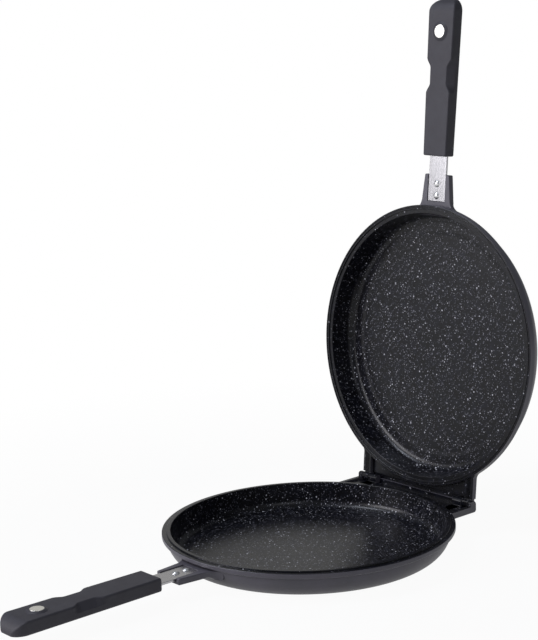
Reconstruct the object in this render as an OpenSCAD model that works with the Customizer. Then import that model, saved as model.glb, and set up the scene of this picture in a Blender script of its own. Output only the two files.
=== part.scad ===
// Double sided flip pan: two shallow cast pans, hinged at the back, each with a riveted steel
// strip and a moulded grip. All sizes are in millimetres and +Z is up.
//
// The lower pan stands on the plane z = 0 with its centre on the Z axis. The handles point
// along -Y and the hinge axis runs along X behind the pans. Both pans are described in the
// same pan frame, whose plane z = 0 is the plane where the two rims meet and whose bowl
// reaches to -Z. The lower pan is lifted by its own height, and the upper pan is mirrored
// over that plane and swung back about the hinge by the opening angle.

/* [Pans] */
// Radius of the rim's outer edge, half of the outside diameter
rim_r = 135; // [100:1:160]
// Outside height of one pan, from its resting face to the rim plane
pan_h = 28; // [20:0.5:45]
// Overhang of the rim's collar beyond the outer wall
collar_overhang = 4; // [2:0.5:7]
// Radius of the convex outer wall between the base and the collar
wall_arc_r = 23; // [20:0.5:25]
// Thickness of the cooking floor
floor_t = 3.5; // [2.5:0.1:6]
// Depth of the shallow dish turned into the middle of the floor
dish_d = 0.4; // [0:0.1:1]
// Distance from the dish's edge to the start of the floor fillet
dish_inset = 4; // [2:0.5:10]
// Radius of the fillet between the floor and the inner wall
fillet_r = 13; // [6:0.5:20]
// Draft angle of the inner wall
wall_draft = 7; // [2:0.5:12]
// Width of the flat rim
rim_w = 8; // [6:0.5:12]
// Height of the collar under the rim
collar_h = 5.4; // [3:0.2:9]
// Drop of the slope that blends the collar into the wall
collar_drop = 2.2; // [1:0.1:4]
// Gap between the two closed rims
rim_gap = 0.3; // [0.2:0.05:0.6]
// Drop of the lower pan's outer ledge below its raised inner lip
ledge_drop = 1.25; // [0.6:0.05:2]
// Width of the outer ledge of the lower rim
ledge_w = 4.4; // [2:0.1:6]
// Side gap between the upper pan's skirt and the lower pan's raised lip
skirt_gap = 0.3; // [0.2:0.05:0.6]
// Width of the fine groove turned into the upper rim
groove_w = 0.7; // [0.4:0.1:1.5]
// Depth of the fine groove turned into the upper rim
groove_d = 0.6; // [0.3:0.1:1.2]

/* [Resting face] */
// Number of turned rings in the resting face
ring_n = 5; // [1:1:6]
// Width of the plain border around the turned rings
ring_border = 11.8; // [4:0.2:20]
// Step from one turned ring to the next
ring_step = 14; // [6:1:17]
// Width of a turned ring
ring_w = 2.2; // [1:0.1:5]
// Depth of a turned ring
ring_d = 0.6; // [0.2:0.1:1.2]

/* [Hinge] */
// Distance of the hinge axis behind the rim's outer edge
hinge_back = 6; // [4.5:0.5:20]
// Angle between the two rim planes as photographed, resting on the cast stops
open_angle = 95.5; // [91:0.5:100]
// Half of the overall length of the hinge
hinge_half = 76; // [60:1:95]
// Thickness of an outer ear
outer_ear_t = 4.5; // [4:0.5:8]
// Thickness of an inner ear
inner_ear_t = 11; // [6:0.5:14]
// Width of an upper pan knuckle
knuckle_t = 8; // [6:0.5:14]
// Side gap between a knuckle and the ears
ear_gap = 0.5; // [0.3:0.1:1]
// Outer radius of the ears and knuckles
ear_r = 3.6; // [3.2:0.1:4]
// Radius of the hinge pins
pin_r = 1.75; // [1.25:0.05:2]
// Radial clearance of the pins in the ears and knuckles
pin_fit = 0.05; // [0.02:0.01:0.1]
// Depth of the blind pin hole in an outer ear
blind_d = 3.4; // [2.5:0.1:3.6]
// Distance of the brackets' outer skin from the rim plane
bracket_d = 5.6; // [5.2:0.1:7]
// Distance of the outer arms' top from the rim plane
arm_drop = 1.2; // [0.6:0.1:3]
// Distance of the outer arms' lower edge from the rim plane
arm_d = 7.5; // [6:0.1:10]
// Depth of the lower bracket's recessed plate below the rim plane
plate_drop = 3.4; // [2:0.1:4]
// Gap between a knuckle and the pocket's floor under it
pocket_gap = 0.6; // [0.4:0.1:0.8]
// Thickness of the upper web's lip, which closes in behind the cross rib
lip_t = 1.6; // [1.2:0.1:2.2]
// Gap between the upper web's lip and the cross rib in the open pose
lip_gap = 0.4; // [0.3:0.1:0.8]
// Wall between the pins' bores and the cross rib
rib_wall = 0.4; // [0.3:0.1:1.2]
// Distance of the upper web's sides from the hinge's ends
web_inset = 2.5; // [0.5:0.5:8]
// Depth of the upper web below the rim plane
web_drop = 3.8; // [2:0.1:4.5]
// Width of the ribs along the upper web's sides
side_rib_w = 8.5; // [4:0.5:12]
// Gap between the upper web and the hinge's ears
web_gap = 0.8; // [0.5:0.1:2]
// Reach of a knuckle's stop heel beyond the hinge axis
heel_y = 0.8; // [0.4:0.1:1.4]
// Height of a knuckle's stop heel above the bracket's outer skin
heel_step = 1; // [0.6:0.1:1.2]
// Gap between a heel and its stop in the open pose
stop_gap = 0.3; // [0.2:0.05:0.6]
// Gap between a knuckle's round and the stop behind it
stop_clear = 0.5; // [0.4:0.1:1]
// Thickness of the stop
stop_t = 2.5; // [2.2:0.1:4]

/* [Handle lug] */
// Length of the lug beyond the rim's outer edge
lug_len = 29; // [26:0.5:45]
// Half width of the lug at its end
lug_half_end = 15.6; // [12:0.2:22]
// Half width of the lug at its root
lug_half_root = 18; // [14:0.2:26]
// Radius of the curved flares at the lug's root
flare_r = 16; // [6:1:24]
// Distance of the lug's face from the rim plane
lug_face = 7.4; // [4:0.2:9]
// Distance of the lug's back from the rim plane
lug_back = 13.4; // [9:0.5:16]
// Radius of the fillet between the lug's underside and the wall
under_r = 8; // [6.5:0.5:14]
// Reach of that fillet beyond the outer wall
under_reach = 4; // [2.5:0.5:5]
// Radius of the lug's outer corners
lug_corner_r = 2; // [0.5:0.5:5]

/* [Strip] */
// Half width of the steel strip
strip_half = 11; // [8:0.5:14]
// Thickness of the steel strip
strip_t = 2.2; // [1.5:0.1:3.5]
// Distance of the strip's face from the rim plane
strip_face = 8.2; // [5:0.2:10]
// Distance of the inner rivet from the strip's end on the lug
strip_margin = 5.5; // [4.5:0.5:5.5]
// Side clearance of the strip in the lug's recess
strip_fit = 0.15; // [0.05:0.05:0.4]
// Half width of the tang inside the grip
tang_half = 7; // [5:0.5:9]
// Length of full strip width inside the grip
tang_shoulder = 8; // [4:1:14]
// Length of strip and tang inside the grip
tang_len = 80.5; // [45:0.5:92]
// Clearance around the tang in the grip
tang_fit = 0.1; // [0.05:0.05:0.3]

/* [Rivets] */
// Distance of the outer rivet from the lug's end
rivet_margin = 8.7; // [5.5:0.1:9]
// Distance between the two rivets
rivet_pitch = 11.3; // [9.5:0.1:11.5]
// Radius of a rivet's domed head
rivet_head_r = 3.5; // [2.5:0.1:4.5]
// Height of a rivet's domed head
rivet_head_h = 1.8; // [1:0.1:3]
// Radius of a rivet's shank
rivet_r = 2; // [1.5:0.1:3]
// Radial clearance of a rivet's hole
rivet_fit = 0.05; // [0.02:0.01:0.1]
// Radius of a rivet's formed tail
rivet_tail_r = 3.2; // [2.5:0.1:4]
// Height of a rivet's formed tail
rivet_tail_h = 1.2; // [0.8:0.1:2]
// Radius of the flat seat under a rivet's tail
rivet_seat_r = 4.2; // [3.5:0.1:5]

/* [Grip] */
// Length of bare strip between the lug and the grip
neck_len = 17.5; // [8:0.5:30]
// Length of the grip
grip_len = 146.5; // [130:0.5:180]
// Half width of the grip at its inner end
grip_half = 14.8; // [12.5:0.1:17]
// Widening of each side of the grip from its inner end to its tip
grip_flare = 1.9; // [0.5:0.1:4]
// Distance of the grip's face from the rim plane
grip_face = 2; // [0.5:0.1:3]
// Thickness of the grip
grip_t = 12.5; // [11:0.5:18]
// Plan radius of the grip's tip corners
tip_corner_r = 9; // [3:0.5:14]
// Chamfer along the grip's front edges
front_chamfer = 2.2; // [0.5:0.1:3]
// Chamfer along the grip's back edges
back_chamfer = 1.6; // [0.5:0.1:3]
// Length of the waist
waist_len = 33; // [24:0.5:50]
// Distance of the waist's outer end from the magnet's centre
waist_gap = 24.6; // [18:0.2:35]
// Length of the ramps at the ends of the waist
waist_ramp = 9; // [4:0.5:12]
// Side inset of the waist
waist_inset = 7; // [2:0.5:9]
// Depth of the waist from the grip's face
waist_d = 3; // [1:0.5:5]

/* [Magnet] */
// Distance of the magnet from the grip's tip
magnet_inset = 30.4; // [24:0.2:36]
// Radius of the magnet
magnet_r = 6.2; // [4:0.1:7.5]
// Thickness of the magnet
magnet_t = 5; // [2:0.5:7]
// Radial clearance of the magnet in its bore
magnet_fit = 0.05; // [0.02:0.01:0.1]
// Width of the sloping collar around the magnet
collar_w = 3.2; // [1:0.1:4]
// Height of the sloping collar above the grip's face
boss_h = 1.2; // [0.5:0.1:1.5]
// Height of the magnet above its collar
magnet_proud = 0.2; // [0.1:0.1:0.3]

/* [Grip screw] */
// Distance of the grip screw from the grip's inner end
screw_inset = 24.5; // [14:0.5:35]
// Radius of the grip screw's shank
screw_r = 1.75; // [1.25:0.05:2.5]
// Radial clearance of the screw's hole in the grip
screw_fit = 0.05; // [0.02:0.01:0.1]
// Radial clearance of the screw in the tang's hole
tang_hole_fit = 0.3; // [0.1:0.05:0.6]
// Radius of the screw's countersunk head
screw_head_r = 3.4; // [2.5:0.1:4.5]
// Height of the screw's countersunk head
screw_head_h = 1.7; // [1:0.1:2.5]
// Depth of the screw's head below the grip's back
screw_sink = 0.3; // [0.1:0.1:1]
// Length of the screw beyond the tang
screw_beyond = 3; // [1:0.5:5]
// Width of the cross slots in the screw's head
slot_w = 0.9; // [0.5:0.1:1.5]
// Length of the cross slots in the screw's head
slot_l = 3.6; // [2:0.1:5]
// Depth of the cross slots in the screw's head
slot_d = 0.9; // [0.4:0.1:1.4]

/* [Hidden] */
$fn = 96;
half_gap = rim_gap / 2;
wall_r = rim_r - collar_overhang;
base_r = wall_r - wall_arc_r;
lip_r = rim_r - rim_w;
step_r = rim_r - ledge_w;
skirt_r = step_r + skirt_gap;
floor_z = -pan_h + floor_t;
fillet_cz = floor_z + fillet_r;
// The wall is a straight line through the lip's edge, tangent to the fillet.
fillet_cr = lip_r + fillet_cz * tan(wall_draft) - fillet_r / cos(wall_draft);
tan_r = fillet_cr + fillet_r * cos(wall_draft);
tan_z = fillet_cz - fillet_r * sin(wall_draft);
mouth_r = lip_r + tan(wall_draft);
// Castings on the outside start inside the wall and stay clear of the bowl.
root_r = lip_r + 0.9;
root_over = 1;
hinge_y = rim_r + hinge_back;
knuckle_x1 = hinge_half - outer_ear_t - ear_gap;
knuckle_x0 = knuckle_x1 - knuckle_t;
inner_x1 = knuckle_x0 - ear_gap;
inner_x0 = inner_x1 - inner_ear_t;
outer_x0 = hinge_half - outer_ear_t;
pin_x0 = inner_x0 + 0.5;
pin_x1 = outer_x0 + blind_d - 0.4;
arm_y = sqrt(pow(root_r, 2) - pow(hinge_half, 2)) - hinge_y - root_over;
web_y = -ear_r - web_gap;
web_half = hinge_half - web_inset;
pocket_floor_t = bracket_d - ear_r - pocket_gap;
rib_back = pin_r + pin_fit + rib_wall;
heel_h = bracket_d + heel_step;
rib_t = heel_h - lip_t - lip_gap - rib_back;
stop_y0 = ear_r + stop_clear;
stop_y1 = stop_y0 + stop_t;
lean = open_angle - 90;
strip_back = strip_face + strip_t;
grip_back = grip_face + grip_t;
flare_x = lug_half_root + flare_r;
flare_y = sqrt(pow(wall_r - 0.4 + flare_r, 2) - pow(flare_x, 2));
flare_k = (wall_r - 0.4) / (wall_r - 0.4 + flare_r);
root_half = flare_x * flare_k;
root_y = sqrt(pow(root_r, 2) - pow(root_half, 2)) - root_over;
// Each place along the handle follows from the rim outwards.
lug_end = rim_r + lug_len;
under_start = wall_r + under_reach;
root_drop = lug_back + under_r - sqrt(pow(under_r, 2) - pow(under_reach + 2, 2));
rivet_y2 = lug_end - rivet_margin;
rivet_y1 = rivet_y2 - rivet_pitch;
strip_start = rivet_y1 - strip_margin;
grip_start = lug_end + neck_len;
grip_end = grip_start + grip_len;
tang_end = grip_start + tang_len;
screw_y = grip_start + screw_inset;
tip_half = grip_half + grip_flare;
flare_turn = atan(grip_flare / (grip_len - tip_corner_r));
magnet_y = grip_end - magnet_inset;
magnet_top = grip_face - boss_h - magnet_proud;
waist_y1 = magnet_y - waist_gap;
waist_y0 = waist_y1 - waist_len;
lower_col = [0.17, 0.17, 0.19];
upper_col = [0.19, 0.19, 0.21];
grip_col = [0.15, 0.15, 0.16];
steel_col = [0.80, 0.80, 0.80];

// Height of the stop's slanted top at a distance y behind the hinge axis.
function stop_z(y) = -(heel_y + stop_gap) / cos(lean) - tan(lean) * y;

// Points on an arc of radius r about c, from angle a0 to angle a1.
function arc(c, r, a0, a1, n = 12) =
  [for (i = [0 : n]) let (a = a0 + (a1 - a0) * i / n) [c[0] + r * cos(a), c[1] + r * sin(a)]];

// Pan frames

module place_lower() {
  translate([0, 0, pan_h]) children();
}

module place_upper() {
  translate([0, hinge_y, pan_h])
    rotate([-open_angle, 0, 0])
      translate([0, -hinge_y, 0])
        mirror([0, 0, 1]) children();
}

// Handle details are drawn along +Y and turned to point along -Y.
module to_handle() {
  rotate([0, 0, 180]) children();
}

// A side profile drawn in (y behind the hinge axis, z), given its span along X.
module hinge_slice(x0, x1) {
  translate([x0, hinge_y, 0])
    rotate([90, 0, 90])
      linear_extrude(height = x1 - x0) children();
}

module both_sides() {
  children();
  mirror([1, 0, 0]) children();
}

// Bowl

module pan_outline() {
  translate([0, -pan_h]) square([base_r, pan_h - half_gap]);
  intersection() {
    translate([base_r, -pan_h + wall_arc_r]) circle(r = wall_arc_r);
    translate([0, -pan_h]) square([wall_r, wall_arc_r]);
  }
  translate([0, -pan_h + wall_arc_r]) square([wall_r, pan_h - wall_arc_r - half_gap]);
  translate([0, -collar_h]) square([rim_r, collar_h - half_gap]);
  polygon([
    [base_r, -collar_h - collar_drop],
    [wall_r - 0.6, -collar_h - collar_drop],
    [rim_r, -collar_h],
    [base_r, -collar_h]
  ]);
}

module bowl_cut() {
  polygon([[0, 1], [mouth_r, 1], [tan_r, tan_z], [fillet_cr, fillet_cz], [0, fillet_cz]]);
  translate([fillet_cr, fillet_cz]) circle(r = fillet_r);
  translate([0, floor_z]) square([fillet_cr, fillet_r]);
  translate([0, floor_z - dish_d]) square([fillet_cr - dish_inset, fillet_r]);
}

// The lower rim has a raised inner lip beside a lower outer ledge.
module ledge_cut() {
  translate([step_r, -half_gap - ledge_drop]) square([ledge_w + 1, ledge_drop + 1]);
}

// The upper rim has an outer skirt that drops over the lower pan's ledge.
module skirt() {
  difference() {
    translate([skirt_r, -2]) square([rim_r - skirt_r, 2 - half_gap + ledge_drop]);
    translate([(skirt_r + rim_r - groove_w) / 2, ledge_drop - half_gap - groove_d])
      square([groove_w, groove_d + 1]);
  }
}

module base_rings() {
  for (i = [0 : ring_n - 1])
    translate([base_r - ring_border - ring_w - i * ring_step, -pan_h - 1])
      square([ring_w, ring_d + 1]);
}

module bowl(upper = false) {
  rotate_extrude()
    difference() {
      union() {
        pan_outline();
        if (upper) skirt();
      }
      bowl_cut();
      if (!upper) ledge_cut();
      base_rings();
    }
}

// Handle lug, cast with the pan

module lug_plan() {
  difference() {
    union() {
      polygon([
        [-lug_half_root, flare_y],
        [-lug_half_end, lug_end - lug_corner_r],
        [-lug_half_end + lug_corner_r, lug_end],
        [lug_half_end - lug_corner_r, lug_end],
        [lug_half_end, lug_end - lug_corner_r],
        [lug_half_root, flare_y]
      ]);
      polygon([
        [-lug_half_root - 0.001, flare_y],
        [lug_half_root + 0.001, flare_y],
        [root_half, flare_y * flare_k],
        [root_half, root_y],
        [-root_half, root_y],
        [-root_half, flare_y * flare_k]
      ]);
    }
    both_sides() translate([flare_x, flare_y]) circle(r = flare_r);
  }
}

module lug_side() {
  difference() {
    polygon([
      [root_y, -lug_face],
      [lug_end + 1, -lug_face],
      [lug_end + 1, -lug_back],
      [under_start, -lug_back],
      [under_start, -root_drop],
      [root_y, -root_drop]
    ]);
    translate([under_start, -lug_back - under_r]) circle(r = under_r);
  }
}

module lug() {
  difference() {
    intersection() {
      translate([0, 0, -pan_h]) linear_extrude(height = pan_h) lug_plan();
      translate([-flare_x, 0, 0])
        rotate([90, 0, 90]) linear_extrude(height = 2 * flare_x) lug_side();
    }
    translate([-strip_half - strip_fit, strip_start - strip_fit, -strip_back])
      cube([2 * (strip_half + strip_fit), lug_end - strip_start + 10, strip_back]);
    for (y = [rivet_y1, rivet_y2]) {
      translate([0, y, -lug_back - 5]) cylinder(r = rivet_r + rivet_fit, h = 20);
      translate([0, y, -lug_back - 10]) cylinder(r = rivet_seat_r, h = 10);
    }
  }
}

// Hinge castings

module ear_profile(top, depth) {
  circle(r = ear_r);
  polygon([
    [-ear_r, 0], [ear_r, 0], [ear_r, -depth + 2], [ear_r - 2, -depth],
    [arm_y, -depth], [arm_y, -top], [-ear_r - 0.4, -top]
  ]);
}

module lower_bracket() {
  both_sides() {
    hinge_slice(outer_x0, hinge_half) ear_profile(arm_drop, arm_d);
    hinge_slice(inner_x0, inner_x1) ear_profile(plate_drop, bracket_d);
    hinge_slice(inner_x0, outer_x0 + 1)
      polygon([
        [stop_y0, -bracket_d], [stop_y1, -bracket_d],
        [stop_y1, stop_z(stop_y1)], [stop_y0, stop_z(stop_y0)]
      ]);
    hinge_slice(inner_x0, outer_x0 + 1)
      translate([-ear_r - 1, -bracket_d]) square([stop_y0 + ear_r + 2, pocket_floor_t]);
  }
  hinge_slice(-outer_x0 - 1, outer_x0 + 1)
    translate([arm_y, -bracket_d]) square([web_y - arm_y, bracket_d - plate_drop]);
  hinge_slice(-inner_x0 - 1, inner_x0 + 1) {
    translate([web_y - 1, -bracket_d]) square([rib_back + rib_t - web_y + 1, pocket_floor_t]);
    translate([rib_back, -bracket_d]) square([rib_t, bracket_d - half_gap]);
  }
}

module knuckle_profile() {
  circle(r = ear_r);
  polygon([
    [-ear_r, 0], [heel_y, 0], [heel_y, -heel_h], [web_y - 1, -heel_h],
    [web_y - 3, -bracket_d], [arm_y, -bracket_d], [arm_y, -2 * half_gap],
    [-ear_r - 0.2, -2 * half_gap]
  ]);
}

// The web's lip runs along the hinge between the knuckles and stays clear of the ears.
module lip_profile() {
  polygon([
    [heel_y, -heel_h], [web_y - 1, -heel_h], [web_y - 3, -bracket_d], [web_y - 3, -web_drop],
    [web_y, -web_drop], [web_y + 1, lip_t - heel_h], [heel_y, lip_t - heel_h]
  ]);
}

module upper_bracket() {
  hinge_slice(-knuckle_x0 - 1, knuckle_x0 + 1) lip_profile();
  both_sides() {
    hinge_slice(knuckle_x0, knuckle_x1) knuckle_profile();
    hinge_slice(web_half - side_rib_w, web_half)
      translate([arm_y, -bracket_d]) square([web_y - arm_y, bracket_d - rim_gap]);
  }
  hinge_slice(-web_half + 1, web_half - 1)
    translate([arm_y, -bracket_d]) square([web_y - arm_y, bracket_d - web_drop]);
}

module pin_holes() {
  both_sides()
    translate([inner_x0 - 5, hinge_y, 0])
      rotate([0, 90, 0]) cylinder(r = pin_r + pin_fit, h = outer_x0 + blind_d - inner_x0 + 5);
}

module pan_casting() {
  difference() {
    union() {
      to_handle() lug();
      children();
    }
    translate([0, 0, -pan_h - 1]) cylinder(r = root_r, h = pan_h + 20);
    pin_holes();
  }
}

module lower_pan() {
  color(lower_col)
    place_lower() {
      bowl();
      pan_casting() lower_bracket();
    }
}

module upper_pan() {
  color(upper_col)
    place_upper() {
      bowl(upper = true);
      pan_casting() upper_bracket();
    }
}

// Hinge pins

module hinge_pin() {
  translate([pin_x0, hinge_y, 0])
    rotate([0, 90, 0]) {
      cylinder(r = pin_r, h = pin_x1 - pin_x0 - 0.8);
      translate([0, 0, pin_x1 - pin_x0 - 0.8]) cylinder(r1 = pin_r, r2 = pin_r - 0.8, h = 0.8);
    }
}

module right_hinge_pin() {
  color(steel_col) place_lower() hinge_pin();
}

module left_hinge_pin() {
  color(steel_col) place_lower() mirror([1, 0, 0]) hinge_pin();
}

// Handle strip

module strip() {
  difference() {
    translate([0, 0, -strip_back])
      linear_extrude(height = strip_t)
        difference() {
          union() {
            translate([-strip_half, strip_start])
              square([2 * strip_half, grip_start + tang_shoulder - strip_start]);
            translate([-tang_half, grip_start])
              square([2 * tang_half, tang_end - grip_start]);
          }
          for (y = [rivet_y1, rivet_y2])
            translate([0, y]) circle(r = rivet_r + rivet_fit);
          translate([0, screw_y]) circle(r = screw_r + tang_hole_fit);
        }
  }
}

module lower_handle_strip() {
  color(steel_col) place_lower() to_handle() strip();
}

module upper_handle_strip() {
  color(steel_col) place_upper() to_handle() strip();
}

// Rivets

module rivet(y) {
  dome_r = (rivet_head_r * rivet_head_r + rivet_head_h * rivet_head_h) / (2 * rivet_head_h);
  translate([0, y, -strip_face])
    rotate_extrude()
      union() {
        intersection() {
          translate([0, rivet_head_h - dome_r]) circle(r = dome_r);
          square([rivet_head_r, rivet_head_h]);
        }
        translate([0, strip_face - lug_back]) square([rivet_r, lug_back - strip_face]);
        translate([0, strip_face - lug_back - rivet_tail_h])
          polygon([
            [0, 0], [rivet_tail_r - 0.6, 0], [rivet_tail_r, rivet_tail_h - 0.4],
            [rivet_tail_r, rivet_tail_h], [0, rivet_tail_h]
          ]);
      }
}

module lower_inner_rivet() {
  color(steel_col) place_lower() to_handle() rivet(rivet_y1);
}

module lower_outer_rivet() {
  color(steel_col) place_lower() to_handle() rivet(rivet_y2);
}

module upper_inner_rivet() {
  color(steel_col) place_upper() to_handle() rivet(rivet_y1);
}

module upper_outer_rivet() {
  color(steel_col) place_upper() to_handle() rivet(rivet_y2);
}

// Grip

module grip_plan() {
  corner_x = tip_half - tip_corner_r;
  corner_y = grip_end - tip_corner_r;
  polygon(concat(
    [[-grip_half, grip_start], [grip_half, grip_start]],
    arc([corner_x, corner_y], tip_corner_r, 0, 90),
    arc([-corner_x, corner_y], tip_corner_r, 90, 180)
  ));
}

// The face curves back to the outer side over the last stretch of the tip.
module grip_side() {
  polygon(concat(
    [
      [grip_start, -grip_back + 0.8], [grip_start, -grip_face - 0.8],
      [grip_start + 0.8, -grip_face]
    ],
    arc([grip_end - grip_t, -grip_back], grip_t, 90, 0),
    [[grip_start + 0.8, -grip_back]]
  ));
}

// Both chamfers of one flank follow the grip's widening.
module grip_flank() {
  translate([grip_half, grip_start, 0])
    rotate([0, 0, -flare_turn])
      translate([-grip_half, grip_len + 10, 0])
        rotate([90, 0, 0])
          linear_extrude(height = grip_len + 20)
            polygon([
              [-2 * tip_half, -grip_face], [grip_half - front_chamfer, -grip_face],
              [grip_half + 1, -grip_face - front_chamfer - 1],
              [grip_half + 1, -grip_back + back_chamfer + 1],
              [grip_half - back_chamfer, -grip_back], [-2 * tip_half, -grip_back]
            ]);
}

// Half width of the grip at a distance y from the pan's centre.
function grip_w(y) = grip_half + (y - grip_start) * tan(flare_turn);

module waist_cut() {
  translate([0, 0, -grip_face - waist_d])
    linear_extrude(height = waist_d + 1)
      polygon([
        [grip_w(waist_y0) + 2, waist_y0],
        [grip_w(waist_y0), waist_y0],
        [grip_w(waist_y0) - waist_inset, waist_y0 + waist_ramp],
        [grip_w(waist_y1) - waist_inset, waist_y1 - waist_ramp],
        [grip_w(waist_y1), waist_y1],
        [grip_w(waist_y1) + 2, waist_y1]
      ]);
}

// The magnet's collar, sunk into the grip's face by 1 mm.
module magnet_collar() {
  translate([0, magnet_y, -grip_face - 1])
    rotate_extrude()
      polygon([
        [0, 0], [magnet_r + collar_w, 0], [magnet_r + collar_w, 1],
        [magnet_r + 0.7, 1 + boss_h], [0, 1 + boss_h]
      ]);
}

module grip() {
  difference() {
    union() {
      intersection() {
        translate([0, 0, -grip_back - 1]) linear_extrude(height = grip_t + 2) grip_plan();
        translate([-tip_half - 1, 0, 0])
          rotate([90, 0, 90]) linear_extrude(height = 2 * tip_half + 2) grip_side();
        grip_flank();
        mirror([1, 0, 0]) grip_flank();
      }
      magnet_collar();
    }
    both_sides() waist_cut();
    translate([-strip_half - tang_fit, grip_start - 1, -strip_back - tang_fit])
      cube([2 * (strip_half + tang_fit), tang_shoulder + 1 + tang_fit, strip_t + 2 * tang_fit]);
    translate([-tang_half - tang_fit, grip_start - 1, -strip_back - tang_fit])
      cube([2 * (tang_half + tang_fit), tang_end - grip_start + 1 + tang_fit, strip_t + 2 * tang_fit]);
    translate([0, magnet_y, -magnet_top - magnet_t - magnet_fit])
      cylinder(r = magnet_r + magnet_fit, h = magnet_t + 1);
    translate([0, screw_y, -grip_back - 1])
      cylinder(r = screw_r + screw_fit, h = 1 + grip_back - strip_face + screw_beyond + 0.5);
    translate([0, screw_y, -grip_back - 1])
      cylinder(r = screw_head_r + screw_fit, h = 1 + screw_sink);
    translate([0, screw_y, -grip_back + screw_sink])
      cylinder(r1 = screw_head_r + screw_fit, r2 = screw_r + screw_fit, h = screw_head_h);
  }
}

module lower_grip() {
  color(grip_col) place_lower() to_handle() grip();
}

module upper_grip() {
  color(grip_col) place_upper() to_handle() grip();
}

// Magnet in the grip's face, which holds the closed halves together

module magnet() {
  translate([0, magnet_y, -magnet_top - magnet_t])
    rotate_extrude()
      polygon([
        [0, 0], [magnet_r, 0], [magnet_r, magnet_t - 0.15], [magnet_r - 0.15, magnet_t], [0, magnet_t]
      ]);
}

module lower_grip_magnet() {
  color(steel_col) place_lower() to_handle() magnet();
}

module upper_grip_magnet() {
  color(steel_col) place_upper() to_handle() magnet();
}

// Grip screw, driven from the grip's back through the tang

module grip_screw() {
  translate([0, screw_y, -grip_back + screw_sink])
    difference() {
      union() {
        cylinder(r1 = screw_head_r, r2 = screw_r, h = screw_head_h);
        cylinder(r = screw_r, h = grip_back - screw_sink - strip_face + screw_beyond);
      }
      for (a = [0, 90])
        rotate([0, 0, a])
          translate([-slot_l / 2, -slot_w / 2, -1]) cube([slot_l, slot_w, 1 + slot_d]);
    }
}

module lower_grip_screw() {
  color(steel_col) place_lower() to_handle() grip_screw();
}

module upper_grip_screw() {
  color(steel_col) place_upper() to_handle() grip_screw();
}

lower_pan();
upper_pan();
left_hinge_pin();
right_hinge_pin();
lower_handle_strip();
upper_handle_strip();
lower_inner_rivet();
lower_outer_rivet();
upper_inner_rivet();
upper_outer_rivet();
lower_grip();
upper_grip();
lower_grip_screw();
upper_grip_screw();
lower_grip_magnet();
upper_grip_magnet();
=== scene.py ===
"""Dresses the double sided flip pan: two coated castings, steel strips, rivets and moulded grips.

Both halves are described once, in the pan frame: the rims meet in its plane z = 0, the bowl reaches
to -Z, the hinge axis lies behind it along X and the handle points along -Y. PanFrame carries a
half to its place in the row frame. All lengths are in metres.
"""
from __future__ import annotations

import logging
import math
from dataclasses import dataclass, replace
from enum import Enum
from typing import Callable, Sequence

import bmesh
import bpy
import numpy as np
from bpy.types import Material, Node, NodeSocket, NodeTree, Object
from mathutils import Matrix, Vector


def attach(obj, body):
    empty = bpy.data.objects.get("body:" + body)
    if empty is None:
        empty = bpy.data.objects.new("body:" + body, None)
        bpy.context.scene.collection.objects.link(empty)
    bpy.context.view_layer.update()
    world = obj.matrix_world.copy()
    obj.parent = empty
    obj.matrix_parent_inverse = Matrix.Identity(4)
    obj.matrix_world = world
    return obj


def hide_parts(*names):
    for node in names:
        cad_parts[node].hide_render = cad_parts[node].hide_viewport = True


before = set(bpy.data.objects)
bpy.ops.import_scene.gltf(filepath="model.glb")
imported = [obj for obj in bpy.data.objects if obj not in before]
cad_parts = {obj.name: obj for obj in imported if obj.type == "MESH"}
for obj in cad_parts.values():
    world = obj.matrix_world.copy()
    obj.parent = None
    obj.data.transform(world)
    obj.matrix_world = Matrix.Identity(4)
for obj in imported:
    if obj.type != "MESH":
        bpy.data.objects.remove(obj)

logging.basicConfig(level=logging.INFO, format="%(message)s")
LOG = logging.getLogger("flip_pan")
MM = 0.001
TINY = 1e-9  # a length that counts as none
STRAIGHT = 1e-3  # an outline that bends by less than twice this angle gets no arc
ARC_SHARE = 0.495  # the largest part of an edge that the arc at one of its ends takes
WELD, SLIVER = 0.002 * MM, 0.001 * MM  # points this near are joined, edges this short dissolved
SHARP, CUT_SHARP = math.radians(48), math.radians(40)  # edges that bend by more stay sharp
Pair = tuple[float, float]
Triple = tuple[float, float, float]
Corner = Triple  # two coordinates of an outline's corner and the radius of its arc
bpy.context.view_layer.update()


class Half(Enum):
    """The two mirrored halves of the pan, each a body of the frame."""

    LOWER = "lower"
    UPPER = "upper"

    @property
    def body(self) -> str:
        """Name of the body that this half rides on."""
        return f"{self.value}_half"


class Coat(Enum):
    """Material slot of each coat on a casting."""

    OUTSIDE = 0
    INSIDE = 1
    RIM = 2


# Surfaces


@dataclass
class Shell:
    """A closed surface: points, quads with a slot number each, and flat end caps.

    Args:
        points: Vertex places, one row each.
        quads: Vertex numbers of the four-sided faces.
        slots: Material slot of each quad.
        caps: Vertex numbers of each end cap.
    """

    points: np.ndarray
    quads: np.ndarray
    slots: np.ndarray
    caps: list[np.ndarray]

    def moved(self, move: Callable[[np.ndarray], np.ndarray]) -> "Shell":
        """The same surface with every point carried by a function."""
        return Shell(move(self.points), self.quads, self.slots, self.caps)


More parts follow.
